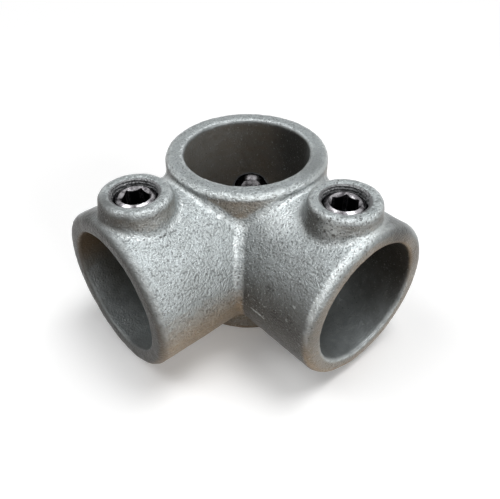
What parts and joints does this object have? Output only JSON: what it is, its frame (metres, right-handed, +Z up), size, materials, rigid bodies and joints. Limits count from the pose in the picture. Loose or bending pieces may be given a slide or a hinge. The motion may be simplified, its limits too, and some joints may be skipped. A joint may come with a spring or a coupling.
{
  "type": "three-way through tube fitting",
  "caption": "Galvanised cast tube fitting: an upright through sleeve with side sockets at a right angle, each bore locked by a hexagon-socket set screw.",
  "frame": {"origin": "the point where the three bore axes meet", "axes": "+Z up the sleeve, +X out of the left socket, +Y out of the right socket"},
  "size_m": [0.1057, 0.1057, 0.0755],
  "materials": {
    "galvanised_cast_iron": "hot-dip galvanised sand casting with a fine pebbled skin",
    "plated_steel": "plated and turned, with bright chamfers"
  },
  "bodies": {
    "fitting": {"cast_body": "galvanised_cast_iron"},
    "left_screw": {"left_set_screw": "plated_steel"},
    "right_screw": {"right_set_screw": "plated_steel"},
    "back_screw": {"back_set_screw": "plated_steel"}
  },
  "joints": [
    {"name": "left_screw_travel", "type": "slide", "parent": "fitting", "child": "left_screw", "axis": [0, 0, 1], "range_m": [-0.00155, 0.008]},
    {"name": "right_screw_travel", "type": "slide", "parent": "fitting", "child": "right_screw", "axis": [0, 0, 1], "range_m": [-0.00155, 0.008]},
    {"name": "back_screw_travel", "type": "slide", "parent": "fitting", "child": "back_screw", "axis": [-0.7071, -0.7071, 0], "range_m": [-0.00155, 0.008]}
  ]
}
